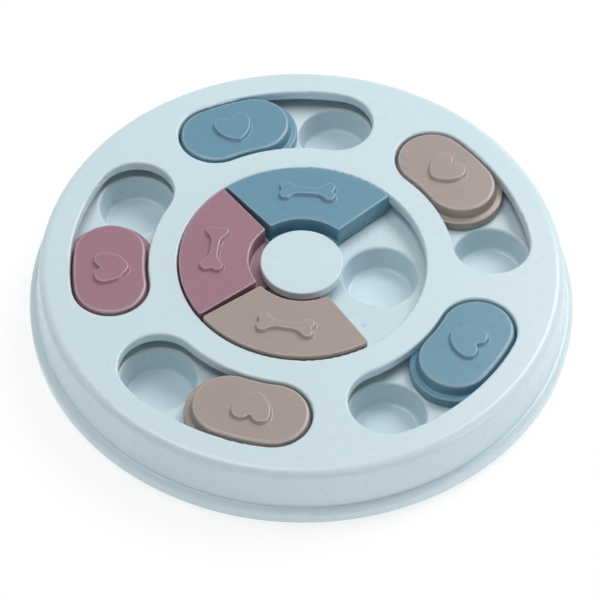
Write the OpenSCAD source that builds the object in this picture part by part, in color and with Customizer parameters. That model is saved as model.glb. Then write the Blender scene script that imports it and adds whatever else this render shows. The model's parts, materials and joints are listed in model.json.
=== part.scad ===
// Round puzzle feeder: a tray with nine moulded cups under a slotted cover, five covers that
// slide along the slots and three covers that turn round a hub, each hiding a cup in turn.
// Sizes are in millimetres and angles in degrees, +Z is up, and the origin lies on the table
// under the middle of the tray.

/* [Tray] */
// Diameter over the tray's base rim
rim_d = 247; // [225:1:275]
// Wall and deck thickness of the tray
tray_t = 2; // [1.6:0.1:2.6]
// Height of the seam where the cover sits on the tray
seam_z = 9; // [7:0.5:11]
// Depth of the tray's deck below the top of the cover
deck_depth = 10; // [9:0.25:13]
// Rounding of the rim's bottom edge
rim_foot_r = 0.8; // [0.4:0.1:1.2]
// Thickness of the stiffening ribs under the deck
rib_t = 1.8; // [1.2:0.1:3]
// Depth of the stiffening ribs below the deck
rib_h = 6; // [3:0.5:8]
// Wall of the guide ring between the turning covers and the slots
guide_t = 2; // [1.4:0.1:2.6]

/* [Cover] */
// Height of the cover's top above the table
cover_top_z = 29; // [27:0.5:36]
// Wall thickness of the cover
cover_t = 2.4; // [1.8:0.1:2.8]
// Step from the cover's lower edge out to the base rim
rim_step = 2.9; // [1.5:0.1:4.5]
// Inward lean of the cover's skirt over its height
skirt_lean = 2.8; // [1:0.1:5]
// Rounding of the cover's top outer edge
cover_edge_r = 4; // [2:0.1:5]
// Least rounding of the corners inside the cover
least_r = 0.4; // [0.2:0.1:0.8]
// Depth of the lips round the slots and the ring opening
lip_depth = 4.8; // [3.5:0.1:6]
// Thickness of those lips
lip_t = 2; // [1.2:0.1:2.8]
// Rounding of the slot and ring opening edges
lip_edge_r = 1.2; // [0.4:0.1:1.5]

/* [Slots and sliding covers] */
// Width of a slot
slot_w = 35; // [30:0.5:38]
// Distance from a slot's outer side to the cover's top edge
slot_margin = 13.7; // [11:0.1:17]
// Width of the land between the slots and the ring opening
land_w = 13.1; // [11:0.1:16]
// Direction of the first slot's middle
slot_turn = 27.2; // [0:0.1:72]
// Length of a sliding cover's raised part along its track
slider_len = 53; // [46:0.5:60]
// Width of the captive flange beyond the raised part
slider_flange = 3.1; // [2:0.1:4]
// Height of a sliding cover above the cover's top
slider_rise = 0.3; // [0:0.1:2]
// Inward lean of a sliding cover's wall over its height
slider_lean = 1.6; // [0.4:0.1:2.4]
// Rounding of a sliding cover's top edge
slider_edge_r = 0.9; // [0.5:0.1:1.5]
// Rounding of the flange's upper edge and of the corner above it
slider_flange_r = 0.9; // [0.4:0.1:1.2]
// Wall thickness of the moving covers
shell_t = 2; // [1.4:0.1:2.6]

/* [Cups] */
// Mouth diameter of a cup
cup_d = 34; // [28:0.5:36]
// Floor diameter of a cup
cup_floor_d = 29; // [22:0.5:31]
// Depth of a cup below the deck
cup_depth = 12; // [9:0.5:13]
// Wall thickness of a cup
cup_t = 2; // [1.4:0.1:2.4]
// Rounding of a cup's mouth
cup_edge_r = 1.7; // [0.5:0.1:2]
// Rounding where a cup's wall meets its floor
cup_floor_r = 2; // [1:0.1:3]
// Distance from an inner cup's mouth to the ring opening
inner_cup_margin = 3.4; // [2:0.1:6]

/* [Hub and turning covers] */
// Diameter of the hub cap
hub_d = 37.4; // [32:0.2:42]
// Thickness of the hub cap at its edge
hub_cap_t = 4.1; // [2.6:0.1:4.4]
// Drop of the hub cap below the cover's top
hub_drop = 0.3; // [0:0.1:1]
// Rounding of the hub cap's top edge
hub_edge_r = 0.7; // [0.3:0.1:1.2]
// Gap from the hub cap to a turning cover's raised part
hub_gap = 5.2; // [4:0.1:7]
// Reach of a turning cover's toe under the hub cap
toe_tuck = 3.7; // [2:0.1:5]
// Thickness of that toe
toe_t = 2.4; // [1.6:0.1:3.2]
// Height of a turning cover above the cover's top
sector_rise = 1.5; // [0.4:0.1:2.5]
// Angle between a turning cover's two end directions
sector_angle = 89; // [80:0.5:96]
// Inset of each end wall from its end direction
sector_inset = 1.9; // [1.5:0.1:3]
// Reach of a turning cover's flange under the ring opening's lip
sector_tuck = 1.6; // [1:0.1:2.4]
// Rounding of a turning cover's top edge
sector_edge_r = 0.8; // [0.5:0.1:1.5]
// Rest direction of the middle turning cover
mauve_rest = 173.5; // [0:0.5:360]
// Height of the small index bumps on the deck
bump_h = 0.35; // [0.2:0.05:0.6]
// Diameter of the index bumps
bump_d = 2; // [1.2:0.1:3]
// Diameter of the index bumps at their flat top
bump_top_d = 1.2; // [0.4:0.1:2]

/* [Raised ornaments] */
// Height of the hearts and bones above the covers
relief_h = 1.9; // [0.8:0.1:2.4]
// Width of the ornaments' sloping sides
relief_side_w = 0.9; // [0.2:0.1:1.1]
// Radius of a heart's lobes
heart_lobe_r = 5; // [4:0.1:6]
// Distance of each lobe from the heart's middle line
heart_lobe_y = 3.7; // [3:0.1:4.5]
// Distance from the heart's lobes to its tip
heart_len = 7.8; // [6:0.1:10]
// Radius of the heart's tip
heart_tip_r = 3.6; // [2:0.1:4]
// Radius that fills out the heart's sides, halfway between lobe and tip
heart_side_r = 4.8; // [4.4:0.1:5]
// Distance of the heart's middle from the track, towards the hub
heart_set = 1.3; // [0:0.1:2.5]
// Distance of the heart from the cover's middle, along the track
heart_shift = 0.7; // [-2:0.1:2]
// Distance between the knobs at a bone's two ends
bone_len = 20.2; // [17:0.2:24]
// Radius of a bone's knobs
bone_knob_r = 3.3; // [2.8:0.1:3.8]
// Distance of each knob from the bone's middle line
bone_knob_y = 2.5; // [2:0.1:3]
// Width of a bone's shaft at its waist
bone_waist_w = 5.2; // [4.4:0.1:6]
// Radius of the hollow sides of a bone's shaft
bone_hollow_r = 18; // [15:0.5:24]

/* [Fasteners and feet] */
// Outer diameter of the screw posts
post_d = 8; // [7:0.2:10]
// Space between a screw post and a sliding cover's flange
post_gap = 1.7; // [0.8:0.1:4]
// Diameter of a screw's shank
screw_d = 2.9; // [2.5:0.1:3.5]
// Diameter of a screw's head
screw_head_d = 6; // [5:0.1:7]
// Height of a screw's head
screw_head_h = 2.2; // [1.6:0.1:3]
// Rounding of a screw's head
screw_head_r = 1.1; // [0.6:0.1:1.5]
// Length of each arm pair of a screw's cross recess
drive_len = 3; // [2.4:0.1:4]
// Width of those arms
drive_w = 1; // [0.6:0.1:1.4]
// Depth of the cross recess
drive_depth = 1.1; // [0.6:0.1:1.5]
// Wall of the collar round a screw's head
collar_t = 2; // [1.2:0.1:3]
// Reach of that collar beyond the head
collar_lip = 1; // [0.4:0.1:2]
// Room in a pilot bore beyond a screw's tip
bore_tip = 0.4; // [0.2:0.1:0.8]
// Distance from a screw's tip to the underside of the cover
screw_tip_gap = 1.6; // [1:0.1:3]
// Diameter of a foot pad
foot_d = 12; // [9:0.5:15]
// Thickness of a foot pad
foot_t = 2.2; // [1.6:0.1:3]
// Rounding of a foot pad's lower edge
foot_edge_r = 0.5; // [0.2:0.1:0.9]
// Height of the tray's rim above the table
foot_stand = 1; // [0.6:0.1:1.5]
// Distance of the foot pads from the tray's upright wall
foot_inset = 12; // [10:0.5:16]
// Wall round a foot pad's recess
foot_wall = 1.5; // [1:0.1:2.5]

/* [Clearances] */
// Running gap above and below the moving flanges
run_gap = 0.3; // [0.2:0.05:0.4]
// Side gap between a moving cover and the edge round it
side_gap = 0.7; // [0.4:0.05:1.2]
// Gap between the tray's upright wall and the cover's skirt
fit_gap = 0.4; // [0.2:0.05:0.8]
// Gap between a turning cover's toe and the hub
toe_gap = 0.6; // [0.4:0.1:1]
// Difference in angle between a turning cover and its pitch at rest
pitch_slack = 2.35; // [1.5:0.05:2.5]
// Diameter allowance of the screw pilot bores and the cap's spigot
bore_fit = 0.1; // [0.05:0.05:0.3]
// Diameter allowance of the screw clearance holes
hole_fit = 0.5; // [0.3:0.1:1]

/* [Hidden] */
$fn = 96;

// Counts
slot_n = 5;
inner_cup_n = 4;
hull_fn = 32;

// Colours
ice_blue = [0.82, 0.90, 0.93];
slate_blue = [0.43, 0.58, 0.66];
mauve = [0.62, 0.48, 0.53];
taupe = [0.69, 0.63, 0.61];
rubber_grey = [0.75, 0.77, 0.78];
zinc = [0.72, 0.72, 0.70];
slider_colours = [taupe, slate_blue, mauve, taupe, slate_blue];

// Small overlap that keeps cuts from ending on a face
eps = 0.02;
// Run of a cut past an open side
cut_over = 1;
// Cut edges cross the face that they round at a slight angle instead of touching it
bite = 0.98;

// Heights
deck_z = cover_top_z - deck_depth;
lip_z = cover_top_z - lip_depth;
plate_z = cover_top_z - cover_t;
slider_z = deck_z + run_gap;
flange_z = lip_z - run_gap;
slider_top_z = cover_top_z + slider_rise;
sector_top_z = cover_top_z + sector_rise;
cap_z = cover_top_z - hub_drop - hub_cap_t;
sector_z = deck_z + bump_h + run_gap;
toe_z = sector_z + toe_t;
screw_len = deck_depth - cover_t + tray_t - screw_tip_gap;

// Radii, from the rim inwards
rim_r = rim_d / 2;
skirt_r = rim_r - rim_step;
skirt_h = cover_top_z - seam_z;
skirt_angle = atan(skirt_lean / skirt_h);
wall_r = skirt_r - skirt_lean * (deck_z - seam_z) / skirt_h - cover_t / cos(skirt_angle) - fit_gap;
track_r = skirt_r - skirt_lean - slot_margin - slot_w / 2;
ring_r = track_r - slot_w / 2 - land_w;
sector_flange_r = ring_r + sector_tuck;
guide_r = ring_r + max(lip_t, sector_tuck) + fit_gap;
inner_cup_r = ring_r - inner_cup_margin - cup_d / 2;
hub_r = hub_d / 2;
sector_in_r = hub_r + hub_gap;
toe_r = hub_r - toe_tuck;
hub_post_r = toe_r - toe_gap;
bump_r = (sector_in_r + ring_r) / 2;
foot_r = wall_r - foot_inset;

// Lean of a cup's wall
cup_lean = atan((cup_d - cup_floor_d) / 2 / cup_depth);

// Slots and sliding covers
slot_pitch = 360 / slot_n;
slider_w = slot_w - 2 * side_gap;
flange_w = slider_w + 2 * slider_flange;
post_angle = 2 * asin((flange_w / 2 + post_gap + post_d / 2) / (2 * track_r));
slot_sweep = slot_pitch - 2 * post_angle;
slider_sweep = (slider_len - slider_w) / track_r * 180 / PI;
slider_rest = (slot_sweep - slider_sweep) / 2;

// Turning covers
sector_pitch = sector_angle - pitch_slack;

// Direction of a slot's middle, of its cup and of the post that follows it
function slot_dir(k) = slot_turn + slot_pitch * (k - 1);
function cup_dir(k) = slot_dir(k) - slot_sweep / 2;
function post_dir(k) = slot_dir(k) + slot_pitch / 2;

// Places something at a radius and a direction, its own X axis pointing outwards
module polar(r, a) {
  rotate([0, 0, a]) translate([r, 0, 0]) children();
}

// Middle of a bean shape that follows the track: its half section is swept along the arc
module bean_arc(sweep) {
  rotate([0, 0, -sweep / 2])
    rotate_extrude(angle = sweep)
      translate([track_r, 0]) {
        children();
        mirror([1, 0]) children();
      }
}

// Bean-shaped cover: half turns of its section close the two ends of the arc
module bean(sweep) {
  bean_arc(sweep) children();
  polar(track_r, sweep / 2) rotate_extrude(angle = 180) children();
  polar(track_r, -sweep / 2) rotate([0, 0, 180]) rotate_extrude(angle = 180) children();
}

// Bean-shaped slot: round ends that are smaller by a hair overlap the arc, so that the cut
// leaves no skin where they meet it
module bean_slot(sweep) {
  bean_arc(sweep) children();
  for (end = [-1, 1])
    polar(track_r, end * sweep / 2)
      rotate_extrude() intersection() {
        translate([-eps / 2, 0]) children();
        translate([0, -cover_top_z]) square(3 * cover_top_z);
      }
}

// Half section of a block with a rounded top edge
module rounded_half(w, z0, z1, r) {
  translate([0, z0]) square([w - r, z1 - z0]);
  translate([0, z0]) square([w, z1 - z0 - r]);
  translate([w - r, z1 - r]) circle(r);
}

// Half section that rounds the edge of an opening of half width w at height z
module edge_cut(w, z, r) {
  difference() {
    translate([w - eps, z - r]) square([r + eps, r + eps]);
    translate([w + r, z - r * bite]) circle(r);
  }
}

// Half section of an opening from z0 up through z1, its upper edge rounded
module opening_half(w, z0, z1, r) {
  translate([0, z0]) square([w, z1 - z0 + eps]);
  edge_cut(w, z1, r);
}

// Outline of the tray's stepped shell, drawn in from the outside by a wall's thickness
module tray_outline(inset) {
  z0 = inset > 0 ? -cut_over : foot_stand;
  r = max(rim_step - inset, rim_foot_r);
  translate([0, z0]) square([wall_r - inset, deck_z - inset - z0]);
  translate([0, z0 + rim_foot_r]) square([rim_r - inset, seam_z - inset - r - z0 - rim_foot_r]);
  translate([0, z0]) square([rim_r - inset - max(r, rim_foot_r), seam_z - inset - z0]);
  translate([0, z0]) square([rim_r - inset - rim_foot_r, rim_foot_r + eps]);
  translate([rim_r - inset - r, seam_z - inset - r]) circle(r);
  translate([rim_r - inset - rim_foot_r, z0 + rim_foot_r]) circle(rim_foot_r);
}

// Section of a cup's hollow, from its floor up through the deck
module cup_hollow() {
  z0 = deck_z - cup_depth;
  lean = cup_lean;
  r = cup_floor_r;
  floor_r = cup_floor_d / 2 - r * (1 / cos(lean) - tan(lean)) + r * tan(lean);
  // Centre of the mouth's rounding, at the same distance from the deck and the leaning wall
  mouth = [cup_d / 2 + cup_edge_r * bite * (1 / cos(lean) - tan(lean)), deck_z - cup_edge_r * bite];
  polygon([
    [0, z0], [floor_r, z0], [floor_r + r * cos(lean), z0 + r - r * sin(lean)],
    [cup_d / 2, deck_z], [cup_d / 2, deck_z + eps], [0, deck_z + eps]
  ]);
  intersection() {
    translate([floor_r, z0 + r]) circle(r);
    translate([0, z0]) square([cup_d, r]);
  }
  difference() {
    polygon([
      mouth, [mouth[0], deck_z + eps], [cup_d / 2 - eps, deck_z + eps],
      mouth + (cup_edge_r + eps) * [-cos(lean), sin(lean)]
    ]);
    translate(mouth) circle(cup_edge_r);
  }
}

// Well of one cup, its wall meeting the deck from below
module cup_well() {
  z0 = deck_z - cup_depth - cup_t;
  z1 = deck_z - tray_t;
  color(ice_blue)
    rotate_extrude() difference() {
      polygon([
        [0, z0], [cup_floor_d / 2 + cup_t, z0],
        [cup_d / 2 + cup_t - tray_t * tan(cup_lean), z1], [0, z1]
      ]);
      cup_hollow();
    }
}

// Places of the cups in the slots and of those round the hub
module at_outer_cup(k) {
  polar(track_r, cup_dir(k)) children();
}

module at_inner_cup(k) {
  polar(inner_cup_r, 360 / inner_cup_n * (k - 1)) children();
}

// Puts something at each of the nine cups
module at_cups() {
  for (k = [1 : slot_n]) at_outer_cup(k) children();
  for (k = [1 : inner_cup_n]) at_inner_cup(k) children();
}

// Puts something at each of the cover's screws
module at_cover_screws() {
  for (k = [1 : slot_n]) polar(track_r, post_dir(k)) children();
}

// Collar under the deck that shields a screw's head
module screw_collar() {
  depth = screw_head_h + collar_lip;
  translate([0, 0, deck_z - tray_t - depth])
    cylinder(h = depth + eps, d = screw_head_d + 2 * collar_t);
}

// Way through the deck for a screw, with room for its head
module screw_way() {
  translate([0, 0, deck_z - tray_t - eps]) cylinder(h = tray_t + 2 * eps, d = screw_d + hole_fit);
  translate([0, 0, foot_stand]) cylinder(h = deck_z - tray_t - foot_stand, d = screw_head_d + 2 * hole_fit);
}

// Post that hangs on to the deck and takes a screw from below
module screw_post(top_z) {
  difference() {
    translate([0, 0, deck_z]) cylinder(h = top_z - deck_z, d = post_d);
    pilot_bore();
  }
}

module pilot_bore() {
  translate([0, 0, deck_z - eps]) cylinder(h = screw_len - tray_t + bore_tip, d = screw_d + bore_fit);
}

module base_tray() {
  rib_z = deck_z - tray_t - rib_h;
  boss_d = foot_d + 2 * foot_wall;
  color(ice_blue)
    difference() {
      union() {
        rotate_extrude() difference() {
          tray_outline(0);
          tray_outline(tray_t);
        }
        at_cover_screws() screw_collar();
        screw_collar();
        for (k = [1 : slot_n]) {
          polar(foot_r, post_dir(k))
            translate([0, 0, foot_stand]) cylinder(h = deck_z - tray_t / 2 - foot_stand, d = boss_d);
          rotate([0, 0, post_dir(k)])
            translate([guide_r, -rib_t / 2, rib_z])
              cube([wall_r - tray_t / 2 - guide_r, rib_t, rib_h + tray_t / 2]);
        }
        for (k = [1 : inner_cup_n])
          polar(bump_r, 360 / inner_cup_n * (k - 0.5))
            translate([0, 0, deck_z - eps]) cylinder(h = bump_h + eps, d1 = bump_d, d2 = bump_top_d);
      }
      at_cups() rotate_extrude() cup_hollow();
      at_cover_screws() screw_way();
      screw_way();
      for (k = [1 : slot_n])
        polar(foot_r, post_dir(k))
          translate([0, 0, foot_stand - eps])
            cylinder(h = foot_t - foot_stand + eps, d = foot_d + 2 * bore_fit);
    }
}

// Ring on the deck that carries the cover and keeps the turning covers in place
module guide_ring() {
  color(ice_blue)
    rotate_extrude() translate([guide_r, deck_z]) square([guide_t, plate_z - deck_z]);
}

// Hollow hub on the deck that the turning covers turn round
module hub_post() {
  color(ice_blue)
    rotate_extrude() translate([hub_post_r - tray_t, deck_z]) square([tray_t, cap_z - deck_z]);
}

// Outline of the cover, drawn in from the outside by its wall thickness
module cover_outline(inset) {
  r = max(cover_edge_r - inset, least_r);
  z0 = inset > 0 ? seam_z - cut_over : seam_z;
  top = cover_top_z - inset;
  // Centre of the corner's rounding, at the same distance from the top and the leaning side
  cz = top - r;
  cx = skirt_r - (inset + r + (cz - seam_z) * sin(skirt_angle)) / cos(skirt_angle);
  side = [cos(skirt_angle), sin(skirt_angle)];
  foot_x = skirt_r - inset / cos(skirt_angle) + (seam_z - z0) * tan(skirt_angle);
  polygon([[0, z0], [foot_x, z0], [cx, cz] + r * side, [cx, cz], [cx, top], [0, top]]);
  translate([cx, cz]) circle(r);
}

module top_cover() {
  color(ice_blue)
    difference() {
      union() {
        rotate_extrude() difference() {
          cover_outline(0);
          cover_outline(cover_t);
        }
        rotate_extrude() translate([ring_r - eps, lip_z]) square([lip_t + eps, plate_z - lip_z + eps]);
        for (k = [1 : slot_n])
          rotate([0, 0, slot_dir(k)])
            bean_slot(slot_sweep) translate([0, lip_z]) square([slot_w / 2 + lip_t, plate_z - lip_z + eps]);
        at_cover_screws() screw_post(plate_z + eps);
      }
      for (k = [1 : slot_n])
        rotate([0, 0, slot_dir(k)])
          bean_slot(slot_sweep) opening_half(slot_w / 2, lip_z - cut_over, cover_top_z, lip_edge_r);
      rotate_extrude() opening_half(ring_r, lip_z - cut_over, cover_top_z, lip_edge_r);
    }
}

module hub_cap() {
  spigot_r = hub_post_r - tray_t - bore_fit;
  color(ice_blue) {
    difference() {
      rotate_extrude() rounded_half(hub_r, cap_z, cover_top_z - hub_drop, hub_edge_r);
      translate([0, 0, cap_z - eps]) cylinder(h = hub_cap_t - shell_t + eps, r = spigot_r - shell_t);
    }
    // Spigot inside the tray's hub
    rotate_extrude() translate([spigot_r - shell_t, cap_z - shell_t]) square([shell_t, shell_t + eps]);
    screw_post(cover_top_z - hub_drop - shell_t + eps);
  }
}

// Round disc of an ornament, smaller at its top
module relief_disc(r) {
  cylinder(h = relief_h, r1 = r, r2 = r - relief_side_w, $fn = hull_fn);
}

// Heart with its tip towards the hub, on sloping sides
module heart() {
  middle = -(heart_lobe_r - heart_tip_r) / 2 - heart_set;
  for (side = [-1, 1])
    hull() {
      translate([middle + heart_len / 2, side * heart_lobe_y, 0]) relief_disc(heart_lobe_r);
      translate([middle, side * heart_lobe_y / 2, 0]) relief_disc(heart_side_r);
      translate([middle - heart_len / 2, 0, 0]) relief_disc(heart_tip_r);
    }
}

// Bone lying across the direction of the hub, on sloping sides
module bone() {
  end_w = 2 * (bone_knob_y + bone_knob_r) - 3 * relief_side_w;
  for (end = [-1, 1], side = [-1, 1])
    translate([side * bone_knob_y, end * bone_len / 2, 0])
      cylinder(h = relief_h, r1 = bone_knob_r, r2 = bone_knob_r - relief_side_w);
  difference() {
    translate([-end_w / 2, -bone_len / 2, 0]) cube([end_w, bone_len, relief_h]);
    for (side = [-1, 1])
      translate([side * (bone_waist_w / 2 + bone_hollow_r), 0, -relief_h])
        cylinder(h = 3 * relief_h, r1 = bone_hollow_r - relief_side_w,
                 r2 = bone_hollow_r + 2 * relief_side_w);
  }
}

// Half section of a sliding cover: raised part with a leaning wall, captive flange and the
// cove between them
module slider_half() {
  body = slider_w / 2;
  r = slider_flange_r;
  wall_z = flange_z + r;
  lean = atan(slider_lean / (slider_top_z - wall_z));
  // Centre of the top edge's rounding, at the same distance from the top and the leaning wall
  cz = slider_top_z - slider_edge_r;
  cx = body - (cz - wall_z) * tan(lean) - slider_edge_r / cos(lean);
  polygon([
    [0, slider_z], [body, slider_z], [body, wall_z],
    [cx + slider_edge_r * cos(lean), cz + slider_edge_r * sin(lean)],
    [cx, cz], [cx, slider_top_z], [0, slider_top_z]
  ]);
  translate([cx, cz]) circle(slider_edge_r);
  rounded_half(flange_w / 2, slider_z, flange_z, r);
  difference() {
    translate([body - eps, flange_z - eps]) square([r + eps, r + eps]);
    translate([body + r, wall_z]) circle(r);
  }
}

// Half section of a sliding cover's hollow, which follows its wall
module slider_hollow_half() {
  body = slider_w / 2 - shell_t;
  z0 = slider_z - cut_over;
  z1 = slider_top_z - shell_t;
  polygon([[0, z0], [body, z0], [body, flange_z], [body - slider_lean, z1], [0, z1]]);
}

module heart_slider(k) {
  color(slider_colours[k - 1])
    rotate([0, 0, slot_dir(k) + slider_rest]) {
      difference() {
        bean(slider_sweep) slider_half();
        bean(slider_sweep) slider_hollow_half();
      }
      translate([track_r, heart_shift, slider_top_z - eps]) heart();
    }
}

// Wedge between the two end walls of a turning cover
module sector_wedge(inset) {
  half = sector_angle / 2;
  tip = inset / sin(half);
  reach = 2 * ring_r;
  translate([0, 0, deck_z - cut_over])
    linear_extrude(height = 2 * deck_depth)
      polygon([
        [tip, 0],
        [tip + reach * cos(half), -reach * sin(half)],
        [tip + reach * cos(half), reach * sin(half)]
      ]);
}

// Rounds the top edge of a turning cover's end wall
module end_wall_round(side) {
  r = sector_edge_r;
  rotate([0, 0, side * sector_angle / 2])
    translate([0, -side * sector_inset, sector_top_z])
      rotate([90, 0, 90])
        linear_extrude(height = 2 * ring_r)
          mirror([side > 0 ? 0 : 1, 0])
            difference() {
              translate([-r * bite, -r * bite]) square(2 * r);
              translate([-r * bite, -r * bite]) circle(r);
            }
}

// Section of a turning cover: raised part, flange under the lip and toe under the hub cap
module sector_section() {
  r = sector_edge_r;
  out_r = ring_r - side_gap;
  translate([sector_in_r, sector_z]) square([out_r - sector_in_r, sector_top_z - r - sector_z]);
  translate([sector_in_r + r, sector_z]) square([out_r - sector_in_r - 2 * r, sector_top_z - sector_z]);
  for (x = [sector_in_r + r, out_r - r]) translate([x, sector_top_z - r]) circle(r);
  translate([sector_in_r + r, sector_z]) square([sector_flange_r - sector_in_r - r, flange_z - sector_z]);
  translate([toe_r, sector_z]) square([sector_in_r + r - toe_r, toe_z - sector_z]);
}

// Hollow of a turning cover, open towards the deck
module sector_hollow() {
  in_r = sector_in_r + shell_t;
  out_r = ring_r - side_gap - shell_t;
  intersection() {
    rotate_extrude()
      translate([in_r, sector_z - cut_over])
        square([out_r - in_r, sector_top_z - shell_t - sector_z + cut_over]);
    sector_wedge(sector_inset + shell_t);
  }
}

module bone_cover(colour, rest) {
  color(colour)
    rotate([0, 0, rest]) {
      difference() {
        intersection() {
          rotate_extrude() sector_section();
          sector_wedge(sector_inset);
        }
        sector_hollow();
        for (side = [-1, 1]) end_wall_round(side);
      }
      translate([bump_r, 0, sector_top_z - eps]) bone();
    }
}

// Pan-head screw, driven from below
module screw() {
  head_z = deck_z - tray_t;
  difference() {
    union() {
      rotate_extrude() mirror([0, 1])
        rounded_half(screw_head_d / 2, -head_z, screw_head_h - head_z, screw_head_r);
      translate([0, 0, head_z - eps]) cylinder(h = screw_len + eps, d = screw_d);
    }
    for (turn = [0, 90])
      rotate([0, 0, turn])
        translate([-drive_len / 2, -drive_w / 2, head_z - screw_head_h - eps])
          cube([drive_len, drive_w, drive_depth + eps]);
  }
}

module cover_screws() {
  color(zinc) at_cover_screws() screw();
}

module hub_screw() {
  color(zinc) screw();
}

// Rubber pad with a rounded lower edge
module foot_pad(k) {
  color(rubber_grey)
    polar(foot_r, post_dir(k))
      translate([0, 0, foot_t])
        rotate_extrude() mirror([0, 1]) rounded_half(foot_d / 2, 0, foot_t, foot_edge_r);
}

base_tray();
guide_ring();
hub_post();
top_cover();
hub_cap();
at_outer_cup(1) cup_well();  // outer_well_1
at_outer_cup(2) cup_well();  // outer_well_2
at_outer_cup(3) cup_well();  // outer_well_3
at_outer_cup(4) cup_well();  // outer_well_4
at_outer_cup(5) cup_well();  // outer_well_5
at_inner_cup(1) cup_well();  // inner_well_1
at_inner_cup(2) cup_well();  // inner_well_2
at_inner_cup(3) cup_well();  // inner_well_3
at_inner_cup(4) cup_well();  // inner_well_4
heart_slider(1);  // heart_slider_1
heart_slider(2);  // heart_slider_2
heart_slider(3);  // heart_slider_3
heart_slider(4);  // heart_slider_4
heart_slider(5);  // heart_slider_5
bone_cover(slate_blue, mauve_rest - sector_pitch);  // bone_cover_blue
bone_cover(mauve, mauve_rest);  // bone_cover_mauve
bone_cover(taupe, mauve_rest + sector_pitch);  // bone_cover_taupe
cover_screws();
hub_screw();
foot_pad(1);  // foot_pad_1
foot_pad(2);  // foot_pad_2
foot_pad(3);  // foot_pad_3
foot_pad(4);  // foot_pad_4
foot_pad(5);  // foot_pad_5
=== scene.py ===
# %% [markdown]
# # A round puzzle feeder with sliding and turning covers
#
# The real feeder is a set of injection mouldings: a tray with nine cups, a slotted cover screwed on
# top of it, five covers that slide along the slots and three that turn round a hub. The
# construction is loaded as a fixed frame, so every piece already has its true place and size. What
# is left for Blender is how it looks: soft moulded edges, raised ornaments and satin plastic.

# %% Load the frame
import json
import math

import bmesh
import bpy
import numpy as np
from mathutils import Matrix, Vector


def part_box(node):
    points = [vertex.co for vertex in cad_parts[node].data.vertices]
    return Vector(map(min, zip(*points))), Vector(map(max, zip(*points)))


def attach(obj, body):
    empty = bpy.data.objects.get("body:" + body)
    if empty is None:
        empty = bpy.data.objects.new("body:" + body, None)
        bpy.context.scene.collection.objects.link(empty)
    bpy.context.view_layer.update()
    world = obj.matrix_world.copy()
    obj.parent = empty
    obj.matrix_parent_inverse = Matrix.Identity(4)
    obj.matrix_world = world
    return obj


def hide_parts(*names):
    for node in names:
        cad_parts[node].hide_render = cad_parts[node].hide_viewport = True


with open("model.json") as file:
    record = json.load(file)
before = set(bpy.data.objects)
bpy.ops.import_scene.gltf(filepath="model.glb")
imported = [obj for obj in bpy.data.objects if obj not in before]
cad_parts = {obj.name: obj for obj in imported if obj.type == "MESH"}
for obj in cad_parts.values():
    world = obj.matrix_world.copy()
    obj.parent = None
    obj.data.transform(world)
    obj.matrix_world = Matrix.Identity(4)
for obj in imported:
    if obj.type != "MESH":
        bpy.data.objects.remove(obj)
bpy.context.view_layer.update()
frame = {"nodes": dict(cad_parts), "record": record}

MM = 0.001
record = frame["record"]

# %% [markdown]
# ## The camera
#
# A product photograph like this one is taken with a long lens, so that circles turn into clean
# ellipses. The lens, the distance and the tilt were worked out from those ellipses. The camera
# could be aimed with a constraint, but building its matrix from three axes keeps the small roll
# exact.

# %% Camera
photo_width_px = 600
focal_length_px = 2830.6
sensor_width_mm = 36.0
camera_distance_mm = 1257.7
camera_tilt = math.radians(50.90)
camera_roll = math.radians(0.80)
aim_x_mm, aim_y_mm = -0.6, -22.6
cover_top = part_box("top_cover")[1].z
aim_point = Vector((aim_x_mm * MM, aim_y_mm * MM, cover_top))


def add_object(name, data):
    """Puts a camera, a lamp or a mesh into the scene under its own name."""
    made = bpy.data.objects.new(name, data)
    bpy.context.scene.collection.objects.link(made)
    return made


def add_camera():
    view_dir = Vector((0, math.cos(camera_tilt), -math.sin(camera_tilt)))
    level_right = Vector((1, 0, 0))
    level_up = Vector((0, math.sin(camera_tilt), math.cos(camera_tilt)))
    right = math.cos(camera_roll) * level_right + math.sin(camera_roll) * level_up
    up = math.cos(camera_roll) * level_up - math.sin(camera_roll) * level_right
    data = bpy.data.cameras.new("product_camera")
    data.sensor_width = sensor_width_mm
    data.lens = focal_length_px / photo_width_px * sensor_width_mm
    camera = add_object("product_camera", data)
    axes = Matrix((right, up, -view_dir)).transposed().to_4x4()
    place = Matrix.Translation(aim_point - view_dir * camera_distance_mm * MM)
    camera.matrix_world = place @ axes
    bpy.context.scene.camera = camera
    return camera


camera = add_camera()
print("lens:", round(camera.data.lens, 1), "mm at", [round(v, 3) for v in camera.location])

# %% [markdown]
# ## The studio
#
# The feeder stands in a white sweep under large soft lamps. A wide lamp behind it on the right
# draws the thin highlights on the far edges, and a weaker one overhead evens out the tops. Two low
# lamps in front, one on the right and a faint one on the left, shape the skirt. Small lamps would
# throw hard shadows, so each is a wide disk. They are kept at the level where a horizontal face
# shows its own colour.

# %% Lamps
bpy.context.scene.view_settings.view_transform = "Standard"
softboxes = {  # place and width in metres, power in watts
    "back_softbox": ((0.75, 0.85, 1.30), 1.0, 16),
    "top_softbox": ((-0.35, 0.25, 1.80), 1.0, 10),
    "front_right_softbox": ((1.60, -0.75, 0.28), 0.6, 4),
    "front_left_softbox": ((-0.60, -1.60, 0.40), 0.6, 1),
}


def add_softbox(name, place, width, watts):
    """A round area lamp that faces the middle of the feeder."""
    data = bpy.data.lights.new(name, "AREA")
    data.shape = "DISK"
    data.size = width
    data.energy = watts
    lamp = add_object(name, data)
    lamp.location = place
    lamp.rotation_mode = "QUATERNION"
    lamp.rotation_quaternion = (-Vector(place)).to_track_quat("-Z", "Y")


for name, (place, width, watts) in softboxes.items():
    add_softbox(name, place, width, watts)
    print(name, "at", place, "is", width, "m wide with", watts, "W")

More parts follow.
